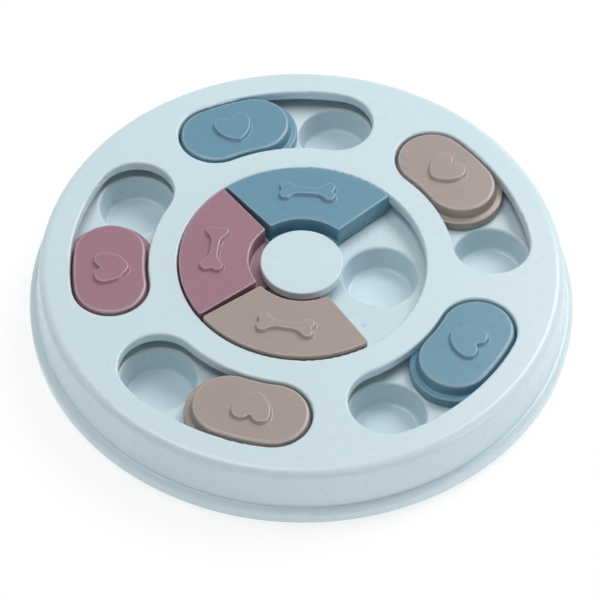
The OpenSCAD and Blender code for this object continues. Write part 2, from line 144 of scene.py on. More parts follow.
# %% [markdown]
# ### Helpers for nodes
#
# Worlds, materials and groups are all trees of nodes, and most of the code for them would be links.
# One helper feeds a socket with whatever is at hand, a plain value or another node's output, and
# the next ones use it to make the nodes that come back again and again.

# %% Node helpers
def feed(tree, socket, value):
    """Links a socket to another node's output, or sets it to a plain number or colour."""
    if isinstance(value, bpy.types.NodeSocket):
        tree.links.new(value, socket)
    else:
        socket.default_value = value


def math_node(tree, operation, *values):
    node = tree.nodes.new("ShaderNodeMath")
    node.operation = operation
    for socket, value in zip(node.inputs, values):
        feed(tree, socket, value)
    return node.outputs[0]


def mix_shaders(tree, fac, low, high):
    """The first shader where fac is 0 and the second where it is 1."""
    node = tree.nodes.new("ShaderNodeMixShader")
    for socket, value in zip(node.inputs, (fac, low, high)):
        feed(tree, socket, value)
    return node.outputs[0]


def background_rays(tree):
    """1 for the rays that show the background: straight, mirrored or through clear pieces."""
    rays = tree.nodes.new("ShaderNodeLightPath").outputs
    open_rays = math_node(tree, "MAXIMUM", rays["Is Camera Ray"], rays["Is Glossy Ray"])
    return math_node(tree, "MAXIMUM", open_rays, rays["Is Transmission Ray"])


# %% [markdown]
# ### The white surroundings
#
# A white sweep lights the object from all round, and more from near the horizon than from above. A
# picture of a studio could do that, but a gradient in the world's nodes needs no file. The rays
# that show the background see plain white and the others carry the soft light, so the white behind
# the feeder doesn't come from more light on it.

# %% World
sky_tint = (0.97, 0.985, 1.0, 1)
horizon_light = 0.52
zenith_light = 0.22
zenith_from = 0.7  # sine of the angle above the horizon
seen_white = (1, 1, 1, 1)


def white_world():
    world = bpy.data.worlds.new("white_sweep")
    bpy.context.scene.world = world
    world.use_nodes = True
    tree = world.node_tree
    tree.nodes.clear()
    place = tree.nodes.new("ShaderNodeTexCoord")
    height = tree.nodes.new("ShaderNodeSeparateXYZ")
    feed(tree, height.inputs[0], place.outputs["Generated"])
    fade = tree.nodes.new("ShaderNodeMapRange")
    fade.interpolation_type = "SMOOTHSTEP"
    feed(tree, fade.inputs["Value"], height.outputs["Z"])
    feed(tree, fade.inputs["From Min"], 0.0)
    feed(tree, fade.inputs["From Max"], zenith_from)
    feed(tree, fade.inputs["To Min"], horizon_light)
    feed(tree, fade.inputs["To Max"], zenith_light)

    def background(colour, strength):
        node = tree.nodes.new("ShaderNodeBackground")
        feed(tree, node.inputs["Color"], colour)
        feed(tree, node.inputs["Strength"], strength)
        return node.outputs[0]

    sweep = mix_shaders(tree, background_rays(tree),
                        background(sky_tint, fade.outputs["Result"]), background(seen_white, 1.0))
    feed(tree, tree.nodes.new("ShaderNodeOutputWorld").inputs["Surface"], sweep)
    return world


print("world:", white_world().name, "from", horizon_light, "at the horizon to", zenith_light)

# %% [markdown]
# ### The floor
#
# The floor is white card. It lights the feeder from below as a large lit card does, with a small
# glow for the part of the sweep that lies outside this floor. The camera sees the card mostly as a
# glow, so that it reads as white and the shadow on it stays faint, as in a photograph that was
# exposed for a white background. From below the card is clear, so that the underside can be looked
# at too.

# %% Floor
floor_half_m = 3.0
card_white = 0.88
card_bounce = 0.36
card_seen = 0.30
camera_lift = 0.75


def white_card():
    material = bpy.data.materials.new("white_card")
    material.use_nodes = True
    tree = material.node_tree
    tree.nodes.clear()

    def glowing_card(white, glow):
        diffuse = tree.nodes.new("ShaderNodeBsdfDiffuse")
        feed(tree, diffuse.inputs["Color"], (white, white, white, 1))
        lift = tree.nodes.new("ShaderNodeEmission")
        feed(tree, lift.inputs["Strength"], glow)
        both = tree.nodes.new("ShaderNodeAddShader")
        feed(tree, both.inputs[0], diffuse.outputs[0])
        feed(tree, both.inputs[1], lift.outputs[0])
        return both.outputs[0]

    from_above = mix_shaders(tree, background_rays(tree), glowing_card(card_white, card_bounce),
                             glowing_card(card_seen, camera_lift))
    below = tree.nodes.new("ShaderNodeNewGeometry").outputs["Backfacing"]
    clear = tree.nodes.new("ShaderNodeBsdfTransparent").outputs[0]
    card = mix_shaders(tree, below, from_above, clear)
    feed(tree, tree.nodes.new("ShaderNodeOutputMaterial").inputs["Surface"], card)
    return material


def pale_floor():
    bm = bmesh.new()
    corners = [(-1, -1), (1, -1), (1, 1), (-1, 1)]
    bm.faces.new([bm.verts.new((x * floor_half_m, y * floor_half_m, 0)) for x, y in corners])
    mesh = bpy.data.meshes.new("studio_floor")
    bm.to_mesh(mesh)
    bm.free()
    floor = add_object("studio_floor", mesh)
    mesh.materials.append(white_card())
    return floor


floor = pale_floor()
print(floor.name, "is", 2 * floor_half_m, "m wide, with", floor.data.materials[0].name)

# %% [markdown]
# ## Shared finishes
#
# All the mouldings come from spark-eroded steel tools, so the plastics share one look: a very fine
# skin that breaks up reflections, a pigment that is not quite even, and a slight polish where paws
# and fingers touch the edges, which also carry a painted highlight. Each of these is a node group
# with named sockets, built once and placed in every plastic with its own values. The groups work
# in object space, so nothing slides when covers move.

# %% Group helpers
NOISE_MEAN = 0.5


def new_group(name, inputs, outputs):
    """An empty group with its sockets, and the two nodes that they show up on inside it."""
    tree = bpy.data.node_groups.new(name, "ShaderNodeTree")
    for socket, kind, value in inputs:
        made = tree.interface.new_socket(socket, in_out="INPUT", socket_type=kind)
        made.default_value = value
    for socket, kind in outputs:
        tree.interface.new_socket(socket, in_out="OUTPUT", socket_type=kind)
    return tree, tree.nodes.new("NodeGroupInput"), tree.nodes.new("NodeGroupOutput")


def object_noise(tree, scale, detail, roughness=0.5):
    """Noise in object space; scale is a number or a socket, in features per metre."""
    place = tree.nodes.new("ShaderNodeTexCoord")
    noise = tree.nodes.new("ShaderNodeTexNoise")
    feed(tree, noise.inputs["Vector"], place.outputs["Object"])
    feed(tree, noise.inputs["Scale"], scale)
    feed(tree, noise.inputs["Detail"], detail)
    feed(tree, noise.inputs["Roughness"], roughness)
    return noise.outputs["Fac"]


def swing(tree, noise, amount):
    """A noise that swings about zero, times an amount."""
    return math_node(tree, "MULTIPLY", math_node(tree, "SUBTRACT", noise, NOISE_MEAN), amount)


def tell(group):
    print("group:", group.name, [socket.name for socket in group.interface.items_tree])


# %% [markdown]
# ### The mould skin
#
# Spark erosion leaves craters of a few tenths of a millimetre in the tool, and cooling leaves a
# slow orange-peel ripple. A displacement would need millions of faces, so the skin is a bump
# height, and the same noise also varies the roughness: the craters are a little duller than the
# ripple's crests.

# %% Mould skin group
grain_detail, grain_roughness = 2.0, 0.6
ripple_detail = 1.5
grain_height = 0.25  # beside 1 for the ripple
plastic_gloss = 0.28


def build_mould_skin():
    tree, source, result = new_group(
        "mould_skin",
        [("Grain Scale", "NodeSocketFloat", 2600.0), ("Ripple Scale", "NodeSocketFloat", 190.0),
         ("Gloss", "NodeSocketFloat", plastic_gloss), ("Gloss Spread", "NodeSocketFloat", 0.06)],
        [("Height", "NodeSocketFloat"), ("Roughness", "NodeSocketFloat")])
    grain = object_noise(tree, source.outputs["Grain Scale"], grain_detail, grain_roughness)
    ripple = object_noise(tree, source.outputs["Ripple Scale"], ripple_detail)
    height = math_node(tree, "ADD", math_node(tree, "MULTIPLY", grain, grain_height), ripple)
    feed(tree, result.inputs["Height"], height)
    halves = [math_node(tree, "MULTIPLY", noise, 0.5) for noise in (grain, ripple)]
    spread = swing(tree, math_node(tree, "ADD", *halves), source.outputs["Gloss Spread"])
    roughness = math_node(tree, "ADD", spread, source.outputs["Gloss"])
    feed(tree, result.inputs["Roughness"], roughness)
    return tree


mould_skin = build_mould_skin()
tell(mould_skin)

# %% [markdown]
# ### The pigment
#
# Coloured granulate never mixes perfectly. Wide pale clouds follow the flow of the melt, and fine
# specks of pigment show from close by. Mixing towards a second colour would shift the hue, so the
# group scales the brightness of one colour by both, and the hue of the plastic stays what it is.

# %% Pigment group
cloud_scale, cloud_detail = 24.0, 3.0
speck_scale, speck_detail = 3800.0, 1.0


def build_pigment():
    tree, source, result = new_group(
        "pigment",
        [("Colour", "NodeSocketColor", (0.8, 0.8, 0.8, 1)), ("Cloud", "NodeSocketFloat", 0.03),
         ("Speck", "NodeSocketFloat", 0.04)],
        [("Colour", "NodeSocketColor")])
    cloud = object_noise(tree, cloud_scale, cloud_detail)
    speck = object_noise(tree, speck_scale, speck_detail)
    change = math_node(tree, "ADD", swing(tree, cloud, source.outputs["Cloud"]),
                       swing(tree, speck, source.outputs["Speck"]))
    brightness = tree.nodes.new("ShaderNodeVectorMath")
    brightness.operation = "SCALE"
    feed(tree, brightness.inputs[0], source.outputs["Colour"])
    feed(tree, brightness.inputs["Scale"], math_node(tree, "ADD", change, 1.0))
    feed(tree, result.inputs["Colour"], brightness.outputs[0])
    return tree


pigment = build_pigment()
tell(pigment)

# %% [markdown]
# ### Rubbed edges with a painted highlight
#
# Edges and raised ornaments are what gets touched, and they wear a little smoother. They are also
# painted paler along the middle of their roundings: a painted highlight where the lamps would be
# mirrored. The covers carry an attribute that is 1 along the middle of their roundings and 0
# elsewhere. A curvature node would do the same in one engine only, while an attribute is there in
# every view. A broken noise keeps the paler line from looking like an outline.

# %% Rub group
RUB_AND_HIGHLIGHT_ATTRIBUTE = "edge_rub_and_highlight"
patch_scale, patch_detail = 160.0, 2.0
patch_low, patch_rise = 0.6, 0.5


def build_rub_and_highlight():
    tree, source, result = new_group(
        "edge_rub_and_highlight", [("Amount", "NodeSocketFloat", 0.5)], [("Mask", "NodeSocketFloat")])
    edge = tree.nodes.new("ShaderNodeAttribute")
    edge.attribute_name = RUB_AND_HIGHLIGHT_ATTRIBUTE
    noise = object_noise(tree, patch_scale, patch_detail)
    patch = math_node(tree, "ADD", math_node(tree, "MULTIPLY", noise, patch_rise), patch_low)
    broken = math_node(tree, "MULTIPLY", edge.outputs["Fac"], patch)
    mask = math_node(tree, "MULTIPLY", broken, source.outputs["Amount"])
    feed(tree, result.inputs["Mask"], mask)
    return tree


rub_and_highlight = build_rub_and_highlight()
tell(rub_and_highlight)

# %% [markdown]
# ### From sRGB to light
#
# Colours are read from a photograph as sRGB values from 0 to 255, while shader sockets hold linear
# light. The helper turns one into the other, so the values below can be compared with any picture.

# %% Colours
def srgb(red, green, blue):
    def channel(value):
        share = value / 255
        return share / 12.92 if share <= 0.04045 else ((share + 0.055) / 1.055) ** 2.4
    return (channel(red), channel(green), channel(blue), 1.0)


PLASTICS = {
    "ice_plastic": srgb(206, 225, 232),
    "blue_plastic": srgb(98, 144, 165),
    "mauve_plastic": srgb(153, 113, 126),
    "taupe_plastic": srgb(163, 147, 140),
}
for name, colour in PLASTICS.items():
    print(name, "in linear light:", [round(v, 3) for v in colour[:3]])

# %% [markdown]
# ## The plastics
#
# The real covers are satin polypropylene: a clear specular over a coloured body. The Principled
# shader does that with one roughness, and the groups above give its colour, roughness and bump.
# What stays the same all over, such as the specular level, is set on the shader's own sockets.

# %% Moulded plastic materials
plastic_specular = 0.5
plastic_ior = 1.49
skin_depth_m = 0.000006
skin_strength = 0.5
rub_and_highlight_amount = 0.8
# Painted highlight: a grey screened over the plastic's colour along the edges
painted_highlight_paleness = (0.34, 0.34, 0.34, 1)
rub_polish = 0.7  # roughness of a rubbed edge beside that of the skin


def new_finish(name):
    """A material, its tree and the Principled shader in it."""
    material = bpy.data.materials.new(name)
    material.use_nodes = True
    return material, material.node_tree, material.node_tree.nodes["Principled BSDF"]


def place_group(tree, group, **values):
    """Places a group in a material; an underscore in a socket's name stands for a space."""
    node = tree.nodes.new("ShaderNodeGroup")
    node.node_tree = group
    for socket, value in values.items():
        feed(tree, node.inputs[socket.replace("_", " ")], value)
    return node


def mix_node(tree, kind, blend, fac, low, high):
    """low where fac is 0 and high where it is 1; kind is FLOAT for numbers or RGBA for colours."""
    node = tree.nodes.new("ShaderNodeMix")
    node.data_type = kind
    node.blend_type = blend
    for socket, value in (("Factor", fac), ("A", low), ("B", high)):
        feed(tree, node.inputs[socket], value)
    return node.outputs["Result"]


def add_bump(tree, shader, height, depth_m, strength=1.0):
    bump = tree.nodes.new("ShaderNodeBump")
    feed(tree, bump.inputs["Strength"], strength)
    feed(tree, bump.inputs["Distance"], depth_m)
    feed(tree, bump.inputs["Height"], height)
    feed(tree, shader.inputs["Normal"], bump.outputs["Normal"])


def moulded_plastic(name, colour):
    material, tree, shader = new_finish(name)
    feed(tree, shader.inputs["Specular IOR Level"], plastic_specular)
    feed(tree, shader.inputs["IOR"], plastic_ior)
    body = place_group(tree, pigment, Colour=colour).outputs["Colour"]
    skin = place_group(tree, mould_skin, Gloss=plastic_gloss).outputs
    worn_and_highlit = place_group(tree, rub_and_highlight, Amount=rub_and_highlight_amount).outputs["Mask"]
    # The paler colour along the edges is a painted highlight; the lower roughness is their wear
    pale = mix_node(tree, "RGBA", "SCREEN", worn_and_highlit, body, painted_highlight_paleness)
    feed(tree, shader.inputs["Base Color"], pale)
    polished = plastic_gloss * rub_polish
    smooth = mix_node(tree, "FLOAT", "MIX", worn_and_highlit, skin["Roughness"], polished)
    feed(tree, shader.inputs["Roughness"], smooth)
    add_bump(tree, shader, skin["Height"], skin_depth_m, skin_strength)
    return material


materials = {name: moulded_plastic(name, colour) for name, colour in PLASTICS.items()}
print("materials:", sorted(materials))

# %% [markdown]
# ## Screws and feet
#
# The cover is held by zinc-plated screws and the feeder stands on soft pads. Both are out of sight
# from above but show when the feeder is turned over. Zinc is a metal with a cloudy roughness from
# the plating bath, and the pads are matt rubber with a dusty grain. New groups could be made for
# them, but both are the mould skin and the pigment with other values.

# %% Zinc and rubber
zinc_colour = srgb(196, 196, 192)
pad_colour = srgb(176, 180, 182)
pad_specular = 0.3
pad_grain_m = 0.00003


def zinc_steel(name):
    material, tree, shader = new_finish(name)
    feed(tree, shader.inputs["Metallic"], 1.0)
    body = place_group(tree, pigment, Colour=zinc_colour, Cloud=0.30, Speck=0.10)
    skin = place_group(tree, mould_skin, Grain_Scale=3200.0, Ripple_Scale=420.0,
                       Gloss=0.34, Gloss_Spread=0.25)
    feed(tree, shader.inputs["Base Color"], body.outputs["Colour"])
    feed(tree, shader.inputs["Roughness"], skin.outputs["Roughness"])
    return material


def rubber_pad(name):
    material, tree, shader = new_finish(name)
    feed(tree, shader.inputs["Specular IOR Level"], pad_specular)
    body = place_group(tree, pigment, Colour=pad_colour, Cloud=0.10, Speck=0.18)
    skin = place_group(tree, mould_skin, Grain_Scale=1800.0, Gloss=0.78, Gloss_Spread=0.15)
    feed(tree, shader.inputs["Base Color"], body.outputs["Colour"])
    feed(tree, shader.inputs["Roughness"], skin.outputs["Roughness"])
    add_bump(tree, shader, skin.outputs["Height"], pad_grain_m)
    return material


materials["zinc_steel"] = zinc_steel("zinc_steel")
materials["rubber_pad"] = rubber_pad("rubber_pad")
print("materials:", sorted(materials))

# %% [markdown]
# ## Dressing the construction
#
# The tray, its cups, the slotted cover, the hub cap, the screws and the pads already have their
# right shape. They could be modelled again, but that would only risk a difference, so each keeps
# its mesh and takes the finish that the record names for it.

# %% Finishes for the construction
slots = {row["node"]: row["material_slot"] for row in record["subparts"]}


def dress(piece, slot):
    """Gives a piece the one finish that is made for the record's slot."""
    piece.data.materials.clear()
    piece.data.materials.append(materials[slot])


for node, slot in slots.items():
    dress(frame["nodes"][node], slot)
print("dressed nodes of the construction:", len(slots))

# %% [markdown]
# ## Measuring the covers
#
# Every cover lies round the hub axis, so its place is a direction, a half angle and two radii. They
# could be typed in again, but measuring the frame's own points keeps the pieces right if the
# construction changes.

# %% Polar measure
slider_count = 5


def polar_span(node):
    """Direction, half angle (radians), radii and heights (mm) of a node about the hub axis."""
    points = np.array([v.co for v in frame["nodes"][node].data.vertices]) / MM
    rough = math.atan2(points[:, 1].mean(), points[:, 0].mean())
    along = points[:, 0] * math.cos(rough) + points[:, 1] * math.sin(rough)
    across = points[:, 1] * math.cos(rough) - points[:, 0] * math.sin(rough)
    angles, radii = np.arctan2(across, along), np.hypot(along, across)
    return {
        "direction": rough + (angles.max() + angles.min()) / 2,
        "half_angle": (angles.max() - angles.min()) / 2,
        "inner": radii.min(), "outer": radii.max(),
        "low": points[:, 2].min(), "high": points[:, 2].max(),
    }


slider_spans = {k: polar_span(f"heart_slider_{k}") for k in range(1, slider_count + 1)}
turner_spans = {c: polar_span(f"bone_cover_{c}") for c in ("blue", "mauve", "taupe")}
for name, span in {**slider_spans, **turner_spans}.items():
    print("cover", name, {key: round(float(value), 3) for key, value in span.items()})

# %% [markdown]
# ## Lofted mouldings
#
# A moulded cover is a stack of closed outlines: each step of its section is the same outline, drawn
# in by a little and set at another height. Lofting such loops gives clean quads along every
# rounding, where a boolean would leave slivers. The flat faces between loops are filled with
# triangles, which stay flat, and a narrow support loop beside each rounding keeps the shading of
# the flat face calm.

# %% Moulding
crease_angle = math.radians(38)


class Moulding:
    """Collects closed loops of equal length and joins them into one skin."""

    def __init__(self, name):
        self.name = name
        self.bm = bmesh.new()
        # Weight of each point's wear and of the painted highlight along the edges
        self.rub_and_highlight = self.bm.verts.layers.float.new(RUB_AND_HIGHLIGHT_ATTRIBUTE)

    def loop(self, outline, height, rub_and_highlight=0.0):
        heights = np.broadcast_to(height, len(outline))
        verts = [self.bm.verts.new((x * MM, y * MM, z * MM))
                 for (x, y), z in zip(outline, heights)]
        for vert in verts:
            vert[self.rub_and_highlight] = rub_and_highlight
        return verts

    def loft(self, *loops):
        for low, high in zip(loops, loops[1:]):
            for i in range(len(low)):
                j = (i + 1) % len(low)
                self.bm.faces.new((low[i], low[j], high[j], high[i]))

    def fill(self, *loops):
        edges = []
        for loop in loops:
            for i, vert in enumerate(loop):
                ends = (vert, loop[i - 1])
                edges.append(self.bm.edges.get(ends) or self.bm.edges.new(ends))
        bmesh.ops.triangle_fill(self.bm, use_beauty=True, edges=edges)

    def finish(self, turn):
        """Turns the skin round the hub axis to its place and makes it an object."""
        bmesh.ops.recalc_face_normals(self.bm, faces=self.bm.faces)
        bmesh.ops.rotate(self.bm, verts=self.bm.verts, cent=(0, 0, 0),
                         matrix=Matrix.Rotation(turn, 3, "Z"))
        mesh = bpy.data.meshes.new(self.name)
        for face in self.bm.faces:
            face.smooth = True
        self.bm.to_mesh(mesh)
        self.bm.free()
        mesh.set_sharp_from_angle(angle=crease_angle)
        return add_object(self.name, mesh)


# %% [markdown]
# ### Arcs and roundings
#
# The outlines and the sections of these mouldings are arcs and straight lines, as a tool maker
# draws them. Curve objects could give them too, but points worked out with sines keep the same
# count at every size, and the loft needs that.

# %% Arcs, lines and sections
def arc(centre, radius, start, stop, count):
    """Points along an arc, the last one left out, so that arcs can follow each other."""
    steps = start + (stop - start) * np.arange(count) / count
    return np.column_stack((centre[0] + radius * np.cos(steps), centre[1] + radius * np.sin(steps)))


def line(start, stop, count):
    steps = (np.arange(count) / count)[:, None]
    return np.asarray(start) * (1 - steps) + np.asarray(stop) * steps


def heading(start, stop):
    """Direction from one point to another, in radians."""
    return math.atan2(stop[1] - start[1], stop[0] - start[0])


def rounding(height, radius, count):
    """Inset and height along a convex quarter round that ends on a flat top."""
    turns = np.linspace(0, math.pi / 2, count)
    return [(radius * (1 - math.cos(t)), height - radius * (1 - math.sin(t))) for t in turns]


def cove(radius, count):
    """Distance and rise up the hollow corner at the foot of a wall."""
    turns = np.linspace(0, math.pi / 2, count)
    return [(radius * (1 - math.sin(t)), radius * (1 - math.cos(t))) for t in turns]


def ridge(step, count):
    """1 in the middle of count steps and 0 at both ends: where an edge wears most and carries its
    painted highlight.
    """
    return math.sin(math.pi * step / (count - 1)) ** 2


print("rub along seven steps of an edge:", [round(ridge(step, 7), 2) for step in range(7)])

# %% [markdown]
# ## The raised ornaments
#
# Hearts and bones stand on the covers with a small fillet at the foot, steep sides and a soft upper
# edge. Two short curves join the three straight parts of that section. Each ornament's outline is
# made of arcs and lines, so drawing it in only changes the radii and never the number of points.

# %% Relief section
relief_height_mm = 1.9
relief_side_mm = 0.9
relief_foot_mm = 0.4
relief_edge_mm = 0.45
bend_steps = 5


def relief_section():
    """Offset from the ornament's outline and height above the cover, from foot to top."""
    foot, top = np.array((0.0, 0.0)), np.array((-relief_side_mm, relief_height_mm))
    level = np.array((1.0, 0.0))
    side = (top - foot) / np.linalg.norm(top - foot)
    bends = (
        (foot + level * relief_foot_mm, foot, foot + side * relief_foot_mm),
        (top - side * relief_edge_mm, top, top - level * relief_edge_mm),
    )
    section = []
    for start, corner, stop in bends:
        for t in np.linspace(0, 1, bend_steps):
            section.append(start * (1 - t) ** 2 + corner * 2 * t * (1 - t) + stop * t * t)
    return section


for offset, rise in relief_section():
    print("relief at", round(float(offset), 2), "mm from the outline:", round(float(rise), 2), "mm")

# %% [markdown]
# ### The heart
#
# A heart is two lobes and a rounded tip, with full sides that touch both in one wide arc and a
# small round notch between the lobes. A drawn curve would need its handles moved for every offset,
# and arcs only need another radius. The tip points to the hub, which is along -X here.

# %% Heart outline
heart_lobe_mm = 4.8
heart_lobe_side_mm = 4.4
heart_length_mm = 8.4
heart_tip_mm = 3.6
heart_side_mm = 13.0
heart_notch_mm = 0.3
heart_middle_mm = -1.7
heart_steps = {"notch": 8, "lobe": 50, "side": 18, "tip": 12}


def heart_outline(offset):
    lobe = np.array((heart_middle_mm + heart_length_mm / 2, heart_lobe_side_mm))
    tip = np.array((heart_middle_mm - heart_length_mm / 2, 0.0))
    # Centre of the side's arc: it holds the lobe and the tip inside, touching both
    run = np.linalg.norm(lobe - tip)
    to_tip, to_lobe = heart_side_mm - heart_tip_mm, heart_side_mm - heart_lobe_mm
    swing_in = math.acos((run ** 2 + to_tip ** 2 - to_lobe ** 2) / (2 * run * to_tip))
    aim = heading(tip, lobe) - swing_in
    side = tip + to_tip * np.array((math.cos(aim), math.sin(aim)))
    notch_reach = math.sqrt((heart_lobe_mm + heart_notch_mm) ** 2 - lobe[1] ** 2)
    notch = np.array((lobe[0] + notch_reach, 0.0))
    at_lobe, at_tip = heading(side, lobe), heading(side, tip)
    half = np.vstack((
        arc(notch, heart_notch_mm - offset, math.pi, heading(notch, lobe), heart_steps["notch"]),
        arc(lobe, heart_lobe_mm + offset, heading(lobe, notch), at_lobe, heart_steps["lobe"]),
        arc(side, heart_side_mm + offset, at_lobe, at_tip, heart_steps["side"]),
        arc(tip, heart_tip_mm + offset, at_tip, math.pi, heart_steps["tip"]),
    ))
    end = np.array([(tip[0] - heart_tip_mm - offset, 0.0)])
    return np.vstack((half, end, (half * (1, -1))[:0:-1]))


print("heart:", len(heart_outline(0)), "points,", np.ptp(heart_outline(0), axis=0).round(1), "mm")

# %% [markdown]
# ### The bone
#
# A bone has two knobs at each end with a shallow dip between them, and a straight shaft that widens
# to the knobs in a hollow curve. It could be joined from disks and a bar, but the hollow curve and
# the dip make it one soft line. Only a quarter is worked out, and mirroring it gives the rest.

# %% Bone outline
bone_half_mm = 10.1
bone_knob_mm = 3.3
bone_knob_side_mm = 2.5
bone_waist_mm = 2.6
bone_hollow_mm = 6.5
bone_dip_mm = 0.6
bone_steps = {"shaft": 4, "hollow": 16, "knob": 26, "dip": 8}


def bone_outline(offset):
    knob = np.array((bone_knob_side_mm, bone_half_mm))
    # Circle that hollows the side: it touches the knob and the straight shaft
    reach = bone_waist_mm + bone_hollow_mm - bone_knob_side_mm
    shaft_half_mm = bone_half_mm - math.sqrt((bone_hollow_mm + bone_knob_mm) ** 2 - reach ** 2)
    hollow = np.array((bone_waist_mm + bone_hollow_mm, shaft_half_mm))
    dip_y = bone_half_mm + math.sqrt((bone_knob_mm + bone_dip_mm) ** 2 - bone_knob_side_mm ** 2)
    dip = np.array((0.0, dip_y))
    side_touch, dip_touch = heading(knob, hollow), heading(knob, dip)
    waist = bone_waist_mm + offset
    quarter = np.vstack((
        line((waist, 0.0), (waist, shaft_half_mm), bone_steps["shaft"]),
        arc(hollow, bone_hollow_mm - offset, math.pi, side_touch + math.pi, bone_steps["hollow"]),
        arc(knob, bone_knob_mm + offset, side_touch, dip_touch, bone_steps["knob"]),
        arc(dip, bone_dip_mm - offset, dip_touch - math.pi, -math.pi / 2, bone_steps["dip"]),
    ))
    end = np.array([(0.0, dip_y - bone_dip_mm + offset)])
    half = np.vstack((quarter, end, (quarter * (-1, 1))[:0:-1]))
    side = np.array([(-waist, 0.0)])
    return np.vstack((half, side, (half * (1, -1))[:0:-1]))


print("bone:", len(bone_outline(0)), "points,", np.ptp(bone_outline(0), axis=0).round(1), "mm")

# %% [markdown]
# ### Standing on the cover
#
# An ornament could be a mesh of its own that is sunk into the cover, but a seam would then show
# round it. Here its lowest loop lies in the cover's flat top, which is filled up to it, so cover
# and ornament are one skin, as they are when both come from one mould.

# %% Raising an ornament
support_mm = 0.12


def raise_ornament(moulding, outline_at, place, top):
    """Lofts an ornament on a flat top and returns the loop round its foot."""
    shift = np.asarray(place)

    def at(offset, rise, rub_and_highlight=0.0):
        return moulding.loop(outline_at(offset) + shift, top + rise, rub_and_highlight)

    section = relief_section()
    loops = [at(relief_foot_mm + support_mm, 0.0)]
    for step, (offset, rise) in enumerate(section):
        # The ornament's top edge gets its wear and its painted highlight along the middle of the
        # turn
        on_edge = ridge(step - bend_steps, bend_steps) if step >= bend_steps else 0.0
        loops.append(at(offset, rise, on_edge))
    loops.append(at(section[-1][0] - support_mm, relief_height_mm))
    moulding.loft(*loops)
    moulding.fill(loops[-1])
    return loops[0]


print("loops in an ornament:", len(relief_section()) + 2)

# %% [markdown]
# ## The sliding covers
#
# Each sliding cover is a bean that follows the slot's arc. Its raised part has leaning walls, so
# that it leaves the mould easily, and a captive flange below runs under the slot's lip. It is
# hollow underneath, as every moulding is, so that it cools evenly. The bean's outline is two arcs
# round the hub closed by two half circles, so a wider or narrower loop is only a change of its half
# width. A bevelled solid bean would come close, but without the hollow corner above the flange.

# %% Bean outline and leaning edge
bean_steps = {"side": 30, "end": 60}


def bean_outline(track, half_sweep, half_width):
    left, right = [track * np.array((math.cos(a), math.sin(a))) for a in (half_sweep, -half_sweep)]
    side, end = bean_steps["side"], bean_steps["end"]
    return np.vstack((
        arc((0, 0), track + half_width, -half_sweep, half_sweep, side),
        arc(left, half_width, half_sweep, half_sweep + math.pi, end),
        arc((0, 0), track - half_width, half_sweep, -half_sweep, side),
        arc(right, half_width, -half_sweep + math.pi, -half_sweep + 2 * math.pi, end),
    ))


def leaning_edge(foot, foot_height, lean, top, radius, count):
    """Half width and height up a leaning wall's rounded top edge, given the wall's foot."""
    angle = math.atan(lean / (top - foot_height))
    centre_height = top - radius
    centre = foot - (centre_height - foot_height) * math.tan(angle) - radius / math.cos(angle)
    turns = np.linspace(angle, math.pi / 2, count)
    return [(centre + radius * math.cos(t), centre_height + radius * math.sin(t)) for t in turns]


print("points round a bean:", 2 * sum(bean_steps.values()))

# %% [markdown]
# ### Lofting a sliding cover
#
# The loops start at the roof of the hollow, go down to the foot, out and up round the flange, in
# through the hollow corner and up the wall to its rounded top edge. The five covers differ only in
# their direction and their colour. Copies of one mesh would do for that, but lofting each one from
# its own measures keeps every cover on the node that it replaces.

# %% Sliding covers
slider_flange_mm = 3.1
flange_height_mm = 4.6
flange_edge_mm = 0.9
slider_lean_mm = 1.0
slider_edge_mm = 1.5
shell_mm = 2.0
foot_edge_mm = 0.3
heart_shift_mm = 0.7
flange_steps, slider_edge_steps, cove_steps = 6, 8, 6
ledge_rub_and_highlight = 0.5  # a flange gets less wear and a fainter painted highlight than a top edge


def sliding_cover(k):
    span = slider_spans[k]
    track = (span["inner"] + span["outer"]) / 2
    flange_half = (span["outer"] - span["inner"]) / 2
    half_sweep = span["half_angle"] - math.asin(flange_half / track)
    body_half = flange_half - slider_flange_mm
    low, top = span["low"], span["high"] - relief_height_mm
    flange_top = low + flange_height_mm
    moulding = Moulding(f"sliding_cover_{k}")

    def at(half_width, height, rub_and_highlight=0.0):
        return moulding.loop(bean_outline(track, half_sweep, half_width), height, rub_and_highlight)

    # From the hollow's roof down to the foot, and up round the flange
    hollow_half = body_half - shell_mm
    roof_half = hollow_half - slider_lean_mm - slider_edge_mm / 2
    loops = [at(roof_half, top - shell_mm), at(hollow_half, flange_top), at(hollow_half, low)]
    loops += [at(flange_half - foot_edge_mm, low), at(flange_half, low + foot_edge_mm)]
    for step, (inset, height) in enumerate(rounding(flange_top, flange_edge_mm, flange_steps)):
        loops.append(at(flange_half - inset, height, rub_and_highlight=ledge_rub_and_highlight * ridge(step, flange_steps)))
    # Hollow corner between the flange and the raised part, and the wall's top edge
    for out, rise in cove(flange_edge_mm, cove_steps):
        loops.append(at(body_half + out, flange_top + rise))
    edge = leaning_edge(body_half, flange_top + flange_edge_mm, slider_lean_mm, top,
                        slider_edge_mm, slider_edge_steps)
    # The top edge gets its wear and its painted highlight along the middle of the turn
    for step, (half_width, height) in enumerate(edge):
        loops.append(at(half_width, height, rub_and_highlight=ridge(step, slider_edge_steps)))
    loops.append(at(edge[-1][0] - support_mm, top))
    moulding.loft(*loops)
    moulding.fill(loops[0])
    foot = raise_ornament(moulding, heart_outline, (track, heart_shift_mm), top)
    moulding.fill(loops[-1], foot)
    piece = moulding.finish(span["direction"])
    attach(piece, f"slider_{k}")
    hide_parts(f"heart_slider_{k}")
    return piece


for k in slider_spans:
    piece = sliding_cover(k)
    dress(piece, slots[f"heart_slider_{k}"])
    print(piece.name, len(piece.data.vertices), "points", slots[f"heart_slider_{k}"])

